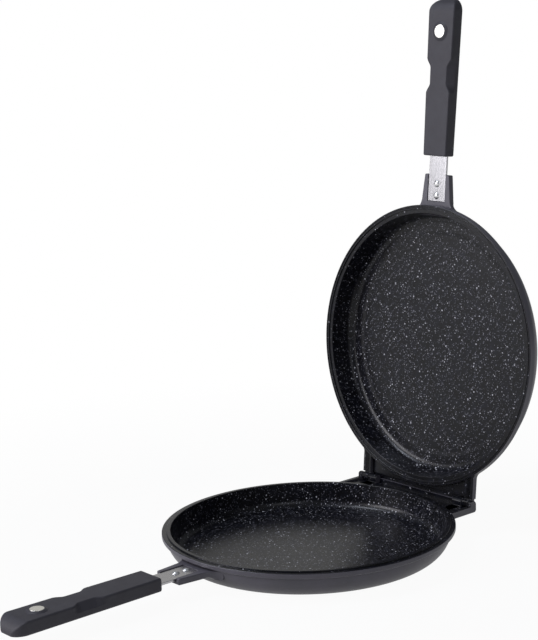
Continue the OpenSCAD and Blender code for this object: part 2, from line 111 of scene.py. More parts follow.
def loft(rings: np.ndarray, slots: np.ndarray | None = None, capped: bool = True) -> Shell:
    """Joins rings of points into a closed tube.

    Ring i and ring i + 1 are joined by quads (i, j), (i, j + 1), (i + 1, j + 1), (i + 1, j), with j
    counted round the ring, and the first and last ring are closed by a flat face each.

    Args:
        rings: Array of shape (rings, points, 3).
        slots: Material slot of each band between two rings.
        capped: Whether the ends get a flat face.

    Returns:
        The closed surface.
    """
    count, around = rings.shape[:2]
    i, j = np.meshgrid(np.arange(count - 1), np.arange(around), indexing="ij")
    k = (j + 1) % around
    quads = np.stack([i * around + j, i * around + k, (i + 1) * around + k, (i + 1) * around + j], axis=-1)
    band = np.zeros(count - 1, int) if slots is None else slots
    caps = [np.arange(around), (count - 1) * around + np.arange(around)] if capped else []
    return Shell(rings.reshape(-1, 3), quads.reshape(-1, 4), np.repeat(band, around), caps)


def rounded(corners: Sequence[Corner], closed: bool, steps: int) -> np.ndarray:
    """Rounds the corners of an outline.

    A corner P between unit directions a and b towards its neighbours gets an arc of radius r that
    starts at P + a t and ends at P + b t, with t = r / tan(angle / 2). The arc's points are
    centre + r (cos, sin) swept evenly between its two ends.

    Args:
        corners: Each corner as (first coordinate, second coordinate, radius).
        closed: Whether the outline returns to its first corner.
        steps: Number of segments in each arc. A corner on a straight stretch gets as many points.

    Returns:
        The points of the rounded outline.
    """
    pts = np.array([c[:2] for c in corners], float)
    parts: list[np.ndarray] = []
    last = len(corners) - 1
    for n, (_, _, radius) in enumerate(corners):
        here = pts[n]
        if radius <= 0 or (not closed and n in (0, last)):
            parts.append(here[None])
            continue
        a, b = pts[n - 1] - here, pts[(n + 1) % len(pts)] - here
        la, lb = np.hypot(*a), np.hypot(*b)
        half = math.pi / 2
        if min(la, lb) > TINY:
            a, b = a / la, b / lb
            half = math.acos(float(np.clip(a @ b, -1, 1))) / 2
        if half > math.pi / 2 - STRAIGHT:
            parts.append(np.repeat(here[None], steps + 1, axis=0))
            continue
        reach = min(radius / math.tan(half), ARC_SHARE * la, ARC_SHARE * lb)
        size = reach * math.tan(half)
        centre = here + (a + b) / np.hypot(*(a + b)) * size / math.sin(half)
        start, end = here + a * reach - centre, here + b * reach - centre
        a0 = math.atan2(start[1], start[0])
        turn = (math.atan2(end[1], end[0]) - a0 + math.pi) % (2 * math.pi) - math.pi
        sweep = a0 + turn * np.linspace(0, 1, steps + 1)
        parts.append(centre + size * np.stack([np.cos(sweep), np.sin(sweep)], axis=1))
    return np.concatenate(parts)


def inset(outline: np.ndarray, depth: float) -> np.ndarray:
    """Moves each point of a closed outline inwards along the mean normal of its two edges.

    Args:
        outline: Its points, one row each.
        depth: Distance to move by.

    Returns:
        The moved points.
    """
    edge = np.roll(outline, -1, axis=0) - outline
    (x, y), (next_x, next_y) = outline.T, np.roll(outline, -1, axis=0).T
    area = np.sum(x * next_y - next_x * y)
    normal = np.stack([-edge[:, 1], edge[:, 0]], axis=1) * np.sign(area)
    length = np.hypot(*normal.T)[:, None]
    normal = np.divide(normal, length, out=np.zeros_like(normal), where=length > TINY)
    mean = normal + np.roll(normal, 1, axis=0)
    size = np.hypot(*mean.T)[:, None]
    return outline + depth * np.divide(mean, size, out=np.zeros_like(mean), where=size > TINY)


def lathe(profile: np.ndarray, slots: np.ndarray | None = None, turns: int = 224) -> Shell:
    """Turns a profile (radius, height) about the Z axis: (r cos u, r sin u, h) for u round the circle.

    Args:
        profile: Points (radius, height), one row each, from pole to pole.
        slots: Material slot of each band of the profile.
        turns: Number of steps round the circle.

    Returns:
        The turned surface, closed where the profile ends on the axis.
    """
    u = np.linspace(0, 2 * math.pi, turns, endpoint=False)
    r, h = profile[:, :1], profile[:, 1:]
    rings = np.stack([r * np.cos(u), r * np.sin(u), h + 0 * u], axis=-1)
    return loft(rings, slots, capped=False)


def sprayed(shell: Shell, slot: int, bare: int) -> Shell:
    """Puts a coat on a shell, except on the faces that look along one axis.

    A face (a, b, c, d) looks along an axis where that part of cross(c - a, d - b) is more than
    three quarters of its length.

    Args:
        shell: A closed surface in the pan frame.
        slot: Material slot of the coat.
        bare: Number of the axis whose faces keep their paint.

    Returns:
        The surface with its new slots.
    """
    a, b, c, d = (shell.points[shell.quads[:, n]] for n in range(4))
    normal = np.cross(c - a, d - b)
    plain = np.abs(normal[:, bare]) > 0.75 * np.linalg.norm(normal, axis=1)
    return replace(shell, slots=np.where(plain, shell.slots, slot))


def station(section: np.ndarray, y: float | np.ndarray) -> np.ndarray:
    """The points of a section (x, z) that stands at y."""
    return np.column_stack([section[:, 0], np.full(len(section), y), section[:, 1]])


def rounded_end(body: np.ndarray, end: float, radius: float) -> tuple[np.ndarray, np.ndarray]:
    """Adds stations that round off an end: at end - r + r sin v, cut back by r (1 - cos v).

    Args:
        body: Stations before the end's edge.
        end: Place of the end.
        radius: Radius r of its edge. The angle v runs up to 90 degrees.

    Returns:
        All stations and the cut at each.
    """
    v = np.linspace(0, math.pi / 2, 5)[1:]
    cut = np.concatenate([np.zeros(len(body)), radius * (1 - np.cos(v))])
    return np.concatenate([body, end - radius + radius * np.sin(v)]), cut


def slab(x0: float, x1: float, outline: Callable[[float], np.ndarray], edge: float, steps: int) -> Shell:
    """Carries a (y, z) outline along X, with both ends rounded.

    Station x lies between x0 and x1. Within the edge radius e of an end, the outline is inset by
    e (1 - cos v) while x moves by e (1 - sin v), for v from 90 degrees to 0.

    Args:
        x0: Start along X.
        x1: End along X.
        outline: Closed outline at a place x.
        edge: Radius of the rounded end edges.
        steps: Number of spans between the two ends.

    Returns:
        The closed surface.
    """
    v = np.linspace(0, math.pi / 2, 5)
    lead, dip = edge * (1 - np.sin(v)), edge * (1 - np.cos(v))
    middle = np.linspace(x0 + edge, x1 - edge, steps + 1)[1:-1]
    places = np.concatenate([x0 + lead[::-1], middle, x1 - lead])
    depth = np.concatenate([dip[::-1], np.zeros(steps - 1), dip])
    rings = [np.column_stack([np.full(len(o), x), o]) for x, o in
             ((x, inset(outline(x), d)) for x, d in zip(places, depth))]
    return loft(np.array(rings))


# Meshes


def make_object(name: str, shells: Sequence[Shell], materials: Sequence[Material]) -> Object:
    """Puts closed surfaces into one mesh object at the origin, with smooth rounded edges.

    Args:
        name: Name of the piece.
        shells: Its closed surfaces, in metres in the row frame.
        materials: Materials in slot order.

    Returns:
        The new object.
    """
    points, faces, slots, base = [], [], [], 0
    for shell in shells:
        points.append(shell.points)
        faces += (shell.quads + base).tolist() + [(cap + base).tolist() for cap in shell.caps]
        slots += shell.slots.tolist() + [int(shell.slots[0])] * len(shell.caps)
        base += len(shell.points)
    mesh = bpy.data.meshes.new(name)
    mesh.from_pydata(np.concatenate(points).tolist(), [], faces)
    mesh.polygons.foreach_set("material_index", np.array(slots, dtype=np.int32))
    for material in materials:
        mesh.materials.append(material)
    work = bmesh.new()
    work.from_mesh(mesh)
    bmesh.ops.remove_doubles(work, verts=work.verts, dist=WELD)
    bmesh.ops.dissolve_degenerate(work, edges=work.edges, dist=SLIVER)
    bmesh.ops.recalc_face_normals(work, faces=work.faces)
    work.to_mesh(mesh)
    work.free()
    mesh.shade_smooth()
    mesh.set_sharp_from_angle(angle=SHARP)
    piece = bpy.data.objects.new(name, mesh)
    bpy.context.scene.collection.objects.link(piece)
    return piece


def cut_away(piece: Object, cutters: Sequence[Shell], added: Sequence[Shell]) -> None:
    """Cuts closed surfaces out of a piece, adds others and keeps the result as its mesh.

    Args:
        piece: The piece to cut.
        cutters: Closed surfaces, in metres in the row frame.
        added: Closed surfaces that the cut piece carries.
    """
    tool = make_object(f"{piece.name}_cutter", cutters, [])
    cut = piece.modifiers.new("cut", "BOOLEAN")
    cut.operation, cut.object, cut.solver = "DIFFERENCE", tool, "EXACT"
    done = bpy.data.meshes.new_from_object(piece.evaluated_get(bpy.context.evaluated_depsgraph_get()))
    piece.modifiers.remove(cut)
    old = piece.data
    piece.data = done
    done.name = piece.name
    bpy.data.meshes.remove(old)
    bpy.data.objects.remove(tool)
    extra = make_object(f"{piece.name}_extra", added, [])
    work = bmesh.new()
    work.from_mesh(done)
    work.from_mesh(extra.data)
    work.to_mesh(done)
    work.free()
    bpy.data.objects.remove(extra)
    done.shade_smooth()
    done.set_sharp_from_angle(angle=CUT_SHARP)


def settle(piece: Object, half: Half, slot: str, *nodes: str) -> None:
    """Weights a piece's normals by face area, lets it ride on its half and stand for its nodes.

    Args:
        piece: The finished piece.
        half: The half that it moves with.
        slot: Not used.
        nodes: The nodes of the frame that it stands for.
    """
    weigh = piece.modifiers.new("face_weighted", "WEIGHTED_NORMAL")
    weigh.keep_sharp, weigh.weight = True, 80
    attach(piece, half.body)
    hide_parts(*nodes)
    LOG.info("%s: %d faces for %s", piece.name, len(piece.data.polygons), ", ".join(nodes))


# Finishes


def linear(code: str) -> tuple[float, float, float, float]:
    """The linear colour of an sRGB hex value such as 1a1a1c.

    A part c becomes c / 12.92 up to 0.04045, and ((c + 0.055) / 1.055)^2.4 above it.
    """
    part = np.array([int(code[i:i + 2], 16) for i in (0, 2, 4)]) / 255
    flat = np.where(part <= 0.04045, part / 12.92, ((part + 0.055) / 1.055) ** 2.4)
    return (*map(float, flat), 1.0)


def add(tree: NodeTree, kind: str, settings: dict | None = None, links: dict | None = None,
        values: dict | None = None) -> Node:
    """Adds a node with its settings, socket values and incoming links.

    Args:
        tree: The node tree.
        kind: Blender's type name without its ShaderNode prefix.
        settings: Properties of the node.
        links: Input socket (name or number) to the output socket that feeds it.
        values: Input socket (name or number) to its own value.

    Returns:
        The new node.
    """
    node = tree.nodes.new(f"ShaderNode{kind}")
    for key, value in (settings or {}).items():
        setattr(node, key, value)
    for key, value in (values or {}).items():
        node.inputs[key].default_value = value
    for key, source in (links or {}).items():
        tree.links.new(source, node.inputs[key])
    return node


def cleared(owner: Material | bpy.types.World) -> NodeTree:
    """The emptied node tree of a material or a world."""
    owner.use_nodes = True
    owner.node_tree.nodes.clear()
    return owner.node_tree


def blank(name: str) -> tuple[Material, NodeTree, Node, NodeSocket]:
    """Makes an empty material.

    Args:
        name: Name of the material.

    Returns:
        The material, its tree, its Principled shader and its Object coordinates.
    """
    material = bpy.data.materials.new(name)
    tree = cleared(material)
    shader = add(tree, "BsdfPrincipled")
    add(tree, "OutputMaterial", links={"Surface": shader.outputs["BSDF"]})
    return material, tree, shader, add(tree, "TexCoord").outputs["Object"]


def ramp(tree: NodeTree, source: NodeSocket, low: float, high: float, to_low: float = 0.0,
         to_high: float = 1.0) -> NodeSocket:
    """Maps a value from the range low to high to another range, clamped, and returns the socket."""
    node = add(tree, "MapRange", {"clamp": True}, {"Value": source},
               {"From Min": low, "From Max": high, "To Min": to_low, "To Max": to_high})
    return node.outputs["Result"]


def blend(tree: NodeTree, amount: NodeSocket, first: NodeSocket | tuple,
          second: NodeSocket | tuple) -> NodeSocket:
    """Mixes two colours, each a socket or a linear colour, by an amount, and returns the socket."""
    node = add(tree, "Mix", {"data_type": "RGBA"}, {0: amount})
    for place, value in ((6, first), (7, second)):
        if isinstance(value, tuple):
            node.inputs[place].default_value = value
        else:
            tree.links.new(value, node.inputs[place])
    return node.outputs[2]


def noise(tree: NodeTree, place: NodeSocket, pitch: float, detail: float, rough: float = 0.5) -> NodeSocket:
    """Adds noise whose marks are a pitch apart, in metres, and returns the socket."""
    values = {"Scale": 1 / pitch, "Detail": detail, "Roughness": rough}
    return add(tree, "TexNoise", None, {"Vector": place}, values).outputs[0]


def coat(tree: NodeTree, shader: Node, colour: NodeSocket, rough: NodeSocket, relief: NodeSocket,
         strength: float, depth: float, ior: float = 1.5) -> None:
    """Feeds a shader its colour, its roughness, and a bump of a strength and a depth in metres."""
    shader.inputs["IOR"].default_value = ior
    bump = add(tree, "Bump", None, {"Height": relief}, {"Strength": strength, "Distance": depth})
    for name, source in (("Base Color", colour), ("Roughness", rough), ("Normal", bump.outputs[0])):
        tree.links.new(source, shader.inputs[name])


@dataclass(frozen=True)
class StoneCoating:
    """Sprayed non-stick coating with mineral flecks, fired on the cooking side of cast aluminium.

    It looks near black and slightly glossy, with pale flecks of very different sizes. A fleck is
    the middle of a Voronoi cell. Its radius is a least value plus a random part of a spread, both
    in cells. The cells are turned, as a floor that lay along their lattice would show bands.

    Args:
        name: Name of the material.
        fleck_share: Share of the cells whose fleck shows.
    """

    name: str
    fleck_share: float
    ground: str = "08080c"
    haze: str = "11131e"
    grain: str = "7a7a84"
    fleck: str = "d2d2da"
    grain_size: Pair = (0.20, 0.22)
    fleck_size: Pair = (0.06, 0.25)
    soft_edge: float = 0.06
    grain_pitch: float = 1.5 * MM
    fleck_pitch: float = 2.7 * MM
    haze_pitch: float = 7.0 * MM
    peel_pitch: float = 1.6 * MM
    turn: Triple = (0.62, 0.93, 0.41)
    rough: Pair = (0.26, 0.34)
    ior: float = 1.34

    def material(self) -> Material:
        """Builds the coating's node material."""
        material, tree, shader, coords = blank(self.name)
        turn = add(tree, "Mapping", None, {"Vector": coords}, {"Rotation": self.turn})
        place = turn.outputs[0]
        haze = noise(tree, place, self.haze_pitch, 6.0, 0.7)
        colour = blend(tree, ramp(tree, haze, 0.45, 0.75), linear(self.ground), linear(self.haze))
        for pitch, code, (size, spread) in ((self.grain_pitch, self.grain, self.grain_size),
                                            (self.fleck_pitch, self.fleck, self.fleck_size)):
            cell = add(tree, "TexVoronoi", None, {"Vector": place}, {"Scale": 1 / pitch})
            luck = add(tree, "SeparateColor", None, {"Color": cell.outputs["Color"]})
            reach = add(tree, "Math", {"operation": "MULTIPLY_ADD"}, {0: luck.outputs[0]},
                        {1: spread, 2: size})
            inside = add(tree, "Math", {"operation": "SUBTRACT"},
                         {0: reach.outputs[0], 1: cell.outputs["Distance"]})
            bright = ramp(tree, luck.outputs[1], 1 - self.fleck_share, 1.0)
            shade = add(tree, "Math", {"operation": "MULTIPLY"},
                        {0: ramp(tree, inside.outputs[0], 0.0, self.soft_edge), 1: bright})
            colour = blend(tree, shade.outputs[0], colour, linear(code))
        peel = noise(tree, place, self.peel_pitch, 3.0)
        coat(tree, shader, colour, ramp(tree, haze, 0.3, 0.8, *self.rough), peel, 0.12, 0.15 * MM, self.ior)
        return material


@dataclass(frozen=True)
class CastEnamel:
    """Baked paint on the outside of die-cast aluminium: dark satin grey, clouded, with faint dust specks."""

    name: str = "baked_satin_paint_on_cast_aluminium"
    colour: str = "47454c"
    pale: str = "504d56"
    dust: str = "77777c"
    grain: float = 0.9 * MM
    cloud: float = 18 * MM
    dust_pitch: float = 3.4 * MM
    dust_size: Pair = (0.12, 0.05)
    dust_share: float = 0.3
    rough: Pair = (0.36, 0.5)

    def material(self) -> Material:
        """Builds the paint's node material."""
        material, tree, shader, place = blank(self.name)
        fine, cloud = noise(tree, place, self.grain, 3.0), noise(tree, place, self.cloud, 5.0)
        colour = blend(tree, ramp(tree, cloud, 0.35, 0.7), linear(self.colour), linear(self.pale))
        cell = add(tree, "TexVoronoi", None, {"Vector": place}, {"Scale": 1 / self.dust_pitch})
        dust = ramp(tree, cell.outputs["Distance"], *self.dust_size, 0.0, self.dust_share)
        colour = blend(tree, dust, colour, linear(self.dust))
        coat(tree, shader, colour, ramp(tree, fine, 0.3, 0.7, *self.rough), fine, 0.2, 0.12 * MM)
        return material


@dataclass(frozen=True)
class Phenolic:
    """Compression-moulded phenolic grip: charcoal black, satin, with a faint moulded grain."""

    name: str = "moulded_phenolic_grip"
    colour: str = "312f35"
    pale: str = "37363c"
    grain: float = 0.7 * MM
    cloud: float = 12 * MM
    rough: Pair = (0.5, 0.6)
    ior: float = 1.4

    def material(self) -> Material:
        """Builds the grip's node material."""
        material, tree, shader, place = blank(self.name)
        fine, cloud = noise(tree, place, self.grain, 2.0), noise(tree, place, self.cloud, 4.0)
        colour = blend(tree, ramp(tree, cloud, 0.3, 0.7), linear(self.colour), linear(self.pale))
        coat(tree, shader, colour, ramp(tree, fine, 0.3, 0.7, *self.rough), fine, 0.1, 0.06 * MM, self.ior)
        return material


@dataclass(frozen=True)
class Steel:
    """Stainless steel: mirror-like but softened, brushed along one axis or turned bright.

    Args:
        name: Name of the material.
        colour: Its sRGB colour.
        rough: Lowest and highest roughness.
        stretch: Lengths of the brush marks along X, Y and Z, in metres.
        depth: Strength of the brush marks' bump.
        gain: How much brighter the marks are than the colour.
    """

    name: str
    colour: str
    rough: Pair
    stretch: Triple
    depth: float
    gain: float = 1.12

    def material(self) -> Material:
        """Builds the steel's node material."""
        material, tree, shader, coords = blank(self.name)
        scale = add(tree, "Mapping", None, {"Vector": coords},
                    {"Scale": tuple(1 / length for length in self.stretch)})
        marks = noise(tree, scale.outputs[0], 1.0, 4.0)
        dark = linear(self.colour)
        tone = blend(tree, marks, dark, tuple(min(1.0, self.gain * part) for part in dark))
        coat(tree, shader, tone, ramp(tree, marks, 0.3, 0.7, *self.rough), marks, self.depth, 0.05 * MM)
        shader.inputs["Metallic"].default_value = 1.0
        return material


# The object


@dataclass(frozen=True)
class PanFrame:
    """Carries points of the pan frame to the row frame.

    The lower half is lifted by its height. The upper half is mirrored over the rim plane, turned
    back about the hinge by the opening angle and lifted: with d the distance from the hinge axis
    towards the handle and t the depth below the rim plane, y = hinge_y - d cos(a) + t sin(a) and
    z = height + d sin(a) + t cos(a).
    """

    height: float = 28.0 * MM
    hinge_y: float = 141.0 * MM
    opening: float = math.radians(95.5)

    def place(self, points: np.ndarray, half: Half) -> np.ndarray:
        """Points of one half in the row frame."""
        if half is Half.LOWER:
            return points + np.array([0, 0, self.height])
        d, t = self.hinge_y - points[:, 1], -points[:, 2]
        cos, sin = math.cos(self.opening), math.sin(self.opening)
        return np.column_stack([points[:, 0], self.hinge_y - d * cos + t * sin,
                                self.height + d * sin + t * cos])


def to_handle(points: np.ndarray) -> np.ndarray:
    """Points drawn along +Y, turned half a turn about Z to lie along -Y."""
    return points * np.array([-1, -1, 1])


@dataclass
class Casting:
    """One pan: bowl, handle lug and hinge bracket, cast in one piece.

    Args:
        half: The half that it belongs to.
        pan: The frame of the pans.
        outside: Material of its outside.
        inside: Material of its cooking side.
        rim_coat_and_hinge_shade: Material of its rim, and of the hinge bracket's faces, where it is partly
            painted shade.
    """

    half: Half
    pan: PanFrame
    outside: Material
    inside: Material
    rim_coat_and_hinge_shade: Material
    rim_r: float = 135.0 * MM
    rim_w: float = 8.0 * MM
    wall_r: float = 131.0 * MM
    wall_arc: float = 23.0 * MM
    collar_h: float = 5.4 * MM
    collar_drop: float = 2.2 * MM
    floor_t: float = 3.5 * MM
    dish_d: float = 0.4 * MM
    dish_r: float = 108.5 * MM
    fillet: float = 13.0 * MM
    draft: float = math.radians(7)
    gap: float = 0.15 * MM
    ledge_w: float = 4.4 * MM
    ledge_drop: float = 1.25 * MM
    skirt_gap: float = 0.3 * MM
    groove_w: float = 0.7 * MM
    groove_d: float = 0.6 * MM
    ring_r0: float = 38.0 * MM
    ring_step: float = 14.0 * MM
    ring_w: float = 2.2 * MM
    ring_d: float = 0.6 * MM
    ring_slope: float = 0.3 * MM
    ring_n: int = 5
    lug_end: float = 164.0 * MM
    lug_half: Pair = (18.0 * MM, 15.6 * MM)
    lug_face: float = 7.4 * MM
    lug_back: float = 13.4 * MM
    lug_edge: float = 0.9 * MM
    lug_root: float = 0.976
    flare_r: float = 16.0 * MM
    flare_sink: float = 0.4 * MM
    heel_r: Pair = (8.3 * MM, 1.2 * MM)
    under_r: float = 8.0 * MM
    under_y: float = 135.0 * MM
    root_drop: float = 16.1 * MM
    strip_y: float = 138.35 * MM
    strip_half: float = 11.15 * MM
    strip_back: float = 10.4 * MM
    ear_r: float = 3.6 * MM
    bracket_d: float = 5.6 * MM
    arm_d: float = 7.5 * MM
    edge: float = 0.45 * MM
    root_sink: float = 6.2 * MM
    outer_ear: Pair = (71.5 * MM, 76.0 * MM)
    inner_ear: Pair = (51.5 * MM, 62.5 * MM)
    knuckle_x: Pair = (63.0 * MM, 71.0 * MM)
    stop_x: Pair = (51.6 * MM, 72.4 * MM)
    rib_x: Pair = (-52.4 * MM, 52.4 * MM)
    web_x: Pair = (-72.4 * MM, 72.4 * MM)
    lip_x: Pair = (-63.4 * MM, 63.4 * MM)
    side_rib_x: Pair = (65.0 * MM, 73.5 * MM)
    side_rib_y: float = 111.0 * MM
    side_flare: float = 8.0 * MM

    def bowl_profile(self) -> tuple[np.ndarray, np.ndarray]:
        """The bowl's profile from the middle of its base round the rim to the middle of its floor.

        Returns:
            The profile's points (radius, height) and the material slot of each band.
        """
        base, floor = -self.pan.height, -self.pan.height + self.floor_t
        corners: list[Corner] = [(0, base, 0)]
        for n in range(self.ring_n):
            r0 = self.ring_r0 + n * self.ring_step
            r1 = r0 + self.ring_w
            corners += [(r0, base, 0.2 * MM), (r0 + self.ring_slope, base + self.ring_d, 0.25 * MM),
                        (r1 - self.ring_slope, base + self.ring_d, 0.25 * MM), (r1, base, 0.2 * MM)]
        centre_r, centre_z = self.wall_r - self.wall_arc, base + self.wall_arc
        under = -self.collar_h - self.collar_drop
        sweep = np.linspace(-math.pi / 2, math.asin((under - centre_z) / self.wall_arc), 25)
        corners += [(centre_r + self.wall_arc * math.cos(a), centre_z + self.wall_arc * math.sin(a), 0)
                    for a in sweep]
        corners += [(self.rim_r, -self.collar_h, 0.9 * MM)]
        lip, step = self.rim_r - self.rim_w, self.rim_r - self.ledge_w
        if self.half is Half.LOWER:
            ledge = -self.gap - self.ledge_drop
            rim = [(self.rim_r, ledge, 0.8 * MM), (step, ledge, 0.25 * MM), (step, -self.gap, 0.5 * MM)]
        else:
            top, skirt = self.ledge_drop - self.gap, step + self.skirt_gap
            low = top - self.groove_d
            near, far = ((self.rim_r + skirt + side * self.groove_w) / 2 for side in (1, -1))
            rim = [(self.rim_r, top, 0.8 * MM), (near, top, 0.2 * MM), (near, low, 0.15 * MM),
                   (far, low, 0.15 * MM), (far, top, 0.2 * MM), (skirt, top, 0.5 * MM),
                   (skirt, -self.gap, 0.25 * MM)]
        # The paint ends halfway round the rim's outer edge, and the rim's thin coat ends just
        # before the inner wall, at the end of the lip's arc.
        arc = 8
        rim_start = len(rounded(corners + rim[:2], False, arc)) - arc // 2 - 2
        corners += rim
        foot = lip + floor * math.tan(self.draft)
        edge = (lip, -self.gap, 0.6 * MM)
        rim_end = len(rounded(corners + [edge, (foot, floor, 0)], False, arc)) - 3
        corners += [edge, (foot, floor, self.fillet), (self.dish_r + 1 * MM, floor, 2 * MM),
                    (self.dish_r - 3 * MM, floor - self.dish_d, 2 * MM), (0, floor - self.dish_d, 0)]
        profile = rounded(corners, False, arc)
        band = np.arange(len(profile) - 1)
        slots = np.where(band >= rim_end, Coat.INSIDE.value,
                         np.where(band >= rim_start, Coat.RIM.value, Coat.OUTSIDE.value))
        return profile, slots

    def lug(self) -> Shell:
        """The handle lug, drawn along +Y as sections that widen into flares at the wall.

        At a distance y from the centre the half width is w(y): straight between its two given
        values beyond the flare, and flare_x - sqrt(r^2 - (y - flare_y)^2) within it. The flare
        touches the wall at (x_t, y_t), and within the wall the edges run on towards the axis. There
        the sections bend as the wall does: a point at x moves by k (s(w) - s(x)), where s is the
        sagitta R - sqrt(R^2 - x^2) and k falls from 1 to 0 before the strip's seat. The underside
        is flat, then follows a circle down to the wall. The seat is a notch in the section.
        """
        wall = self.wall_r - self.flare_sink + self.flare_r
        flare_x = self.lug_half[0] + self.flare_r
        flare_y = math.sqrt(wall ** 2 - flare_x ** 2)
        c = self.lug_edge
        step = 0.02 * MM
        x_t, y_t = (c0 * (1 - self.flare_r / wall) for c0 in (flare_x, flare_y))
        body = np.concatenate([[self.lug_root * y_t], np.linspace(y_t, self.strip_y - step, 14),
                               np.linspace(self.strip_y + step, self.lug_end - c, 22)])
        y, cut = rounded_end(body, self.lug_end, c)
        bend = flare_x - np.sqrt(np.maximum(self.flare_r ** 2 - np.minimum(y - flare_y, 0) ** 2, 0))
        taper = np.interp(y, [flare_y, self.lug_end], self.lug_half)
        width = np.where(y < y_t, x_t * y / y_t, np.where(y < flare_y, bend, taper)) - cut
        follow = np.interp(y, [y_t, self.strip_y - 0.5 * MM], [1, 0])
        sag = np.sqrt(np.maximum(self.under_r ** 2 - np.minimum(y - self.under_y, 0) ** 2, 0))
        under = np.maximum(-self.lug_back - self.under_r + sag, -self.root_drop) + cut
        heel = np.interp(y, [y_t, self.strip_y], self.heel_r)
        top = -self.lug_face - cut
        depth = np.where(y < self.strip_y, 0.01 * MM, self.strip_back - self.lug_face + cut)
        seat = self.strip_half + cut
        rings = []
        for yy, w, lo, hi, dd, s, r, k in zip(y, width, under, top, depth, seat, heel, follow):
            ring = rounded([(-w, lo, r), (w, lo, r), (w, hi, c), (s, hi, 0.4 * MM), (s, hi - dd, 0.2 * MM),
                            (-s, hi - dd, 0.2 * MM), (-s, hi, 0.4 * MM), (-w, hi, c)], True, 5)
            shift = k * (np.sqrt(self.wall_r ** 2 - ring[:, 0] ** 2) - math.sqrt(self.wall_r ** 2 - w ** 2))
            rings.append(station(ring, yy + shift))
        return loft(np.array(rings))

    def root(self, x: float) -> float:
        """Distance behind the hinge axis at which the bracket's castings end inside the wall."""
        return math.sqrt((self.rim_r - self.root_sink) ** 2 - x ** 2) - self.pan.hinge_y

    def hinge_slab(self, reach: Sequence[float], shape: Callable[[float], list[Corner]],
                   steps: int = 4) -> Shell:
        """A slab whose (y, z) corners at x come from a function, y counted from the hinge axis."""
        shift = np.array([self.pan.hinge_y, 0])
        return slab(*reach, lambda x: rounded(shape(x), True, 8) + shift, self.edge, steps)

    def plate(self, reach: Sequence[float], y0: float | None, y1: float, z0: float, z1: float) -> Shell:
        """A plate with a reach along X, from the wall (y0 None) or from y0 to y1, between two depths."""
        def shape(x: float) -> list[Corner]:
            start, r = self.root(x) if y0 is None else y0, 0.4 * MM
            return [(start, z0, 0), (y1, z0, r), (y1, z1, r), (start, z1, 0)]
        return self.hinge_slab(reach, shape, 28)

    def bracket(self) -> list[Shell]:
        """The hinge bracket's castings, given the near-black rim coat as partly painted shade of the hinge
        area, except on the faces that look along X.

        The lower half has two ears and a stop at each side, a plate behind the wall and a cross
        rib, which keeps the grey paint on its top and underside instead, a painted highlight line
        along its top. The upper half has a knuckle and a rib at each side, a web, and a lip along the web.
        """
        r, d = self.ear_r, self.bracket_d
        web_y = -r - 0.8 * MM
        web, heel, lip = -3.8 * MM, -6.6 * MM, -5.0 * MM
        shells: list[Shell] = []

        def span(reach: Pair, side: int) -> list[float]:
            return sorted(side * x for x in reach)

        def ear(top: float, low: float) -> Callable[[float], list[Corner]]:
            return lambda x: [(self.root(x), -low, 0), (r - 1.6 * MM, -low, 1.4 * MM),
                              (r, -low + 1.6 * MM, 1 * MM), (r, r, r), (-r, r, r), (-r, -top, 0.6 * MM),
                              (self.root(x), -top, 0)]

        def knuckle(x: float) -> list[Corner]:
            return [(self.root(x), -d, 0), (web_y - 3 * MM, -d, 0.5 * MM), (web_y - 1 * MM, heel, 0.5 * MM),
                    (0.8 * MM, heel, 0.6 * MM), (0.8 * MM, -r, 0.3 * MM), (r, -r, 2.9 * MM), (r, r, r),
                    (-r, r, r), (-r, -0.3 * MM, 0.3 * MM), (self.root(x), -0.3 * MM, 0)]

        def stop(_: float) -> list[Corner]:
            return [(4.1 * MM, -d, 0), (6.6 * MM, -d, 0.6 * MM), (6.6 * MM, -1.5 * MM, 0.5 * MM),
                    (4.1 * MM, -1.3 * MM, 0.3 * MM)]

        def foot(_: float) -> list[Corner]:
            return [(web_y - 5 * MM, -d + 0.1 * MM, 0), (web_y - 3 * MM, -d, 0.5 * MM),
                    (web_y - 1 * MM, heel, 0.5 * MM), (0.8 * MM, heel, 0.4 * MM), (0.8 * MM, lip, 0.4 * MM),
                    (web_y + 1 * MM, lip, 0.4 * MM), (web_y, web, 0.3 * MM),
                    (web_y - 5 * MM, web - 0.1 * MM, 0)]

        for side in (-1, 1):
            if self.half is Half.LOWER:
                shells += [self.hinge_slab(span(self.outer_ear, side), ear(1.2 * MM, self.arm_d)),
                           self.hinge_slab(span(self.inner_ear, side), ear(3.4 * MM, d)),
                           self.hinge_slab(span(self.stop_x, side), stop),
                           self.plate(span(self.stop_x, side), web_y - 0.4 * MM, 5.5 * MM, -d, -4.2 * MM)]
            else:
                shells += [self.hinge_slab(span(self.knuckle_x, side), knuckle), self.side_rib(side, web_y)]
        if self.half is Half.UPPER:
            shells += [self.plate(self.web_x, None, web_y, -d, web),
                       self.hinge_slab(self.lip_x, foot)]
            # The near-black rim coat on the bracket is partly painted shade of the hinge area.
            return [sprayed(shell, Coat.RIM.value, 0) for shell in shells]
        shells += [self.plate(self.web_x, None, web_y, -d, -3.4 * MM),
                   self.plate(self.rib_x, web_y - 1 * MM, 4.6 * MM, -d, -4.2 * MM)]
        # The rib's top and underside keep the lighter grey paint: a painted highlight line along its top
        # edge.
        rib = self.plate(self.rib_x, 2.2 * MM, 4.6 * MM, -d, -0.15 * MM)
        # The near-black rim coat on the bracket is partly painted shade of the hinge area.
        return [*(sprayed(shell, Coat.RIM.value, 0) for shell in shells), sprayed(rib, Coat.RIM.value, 2)]

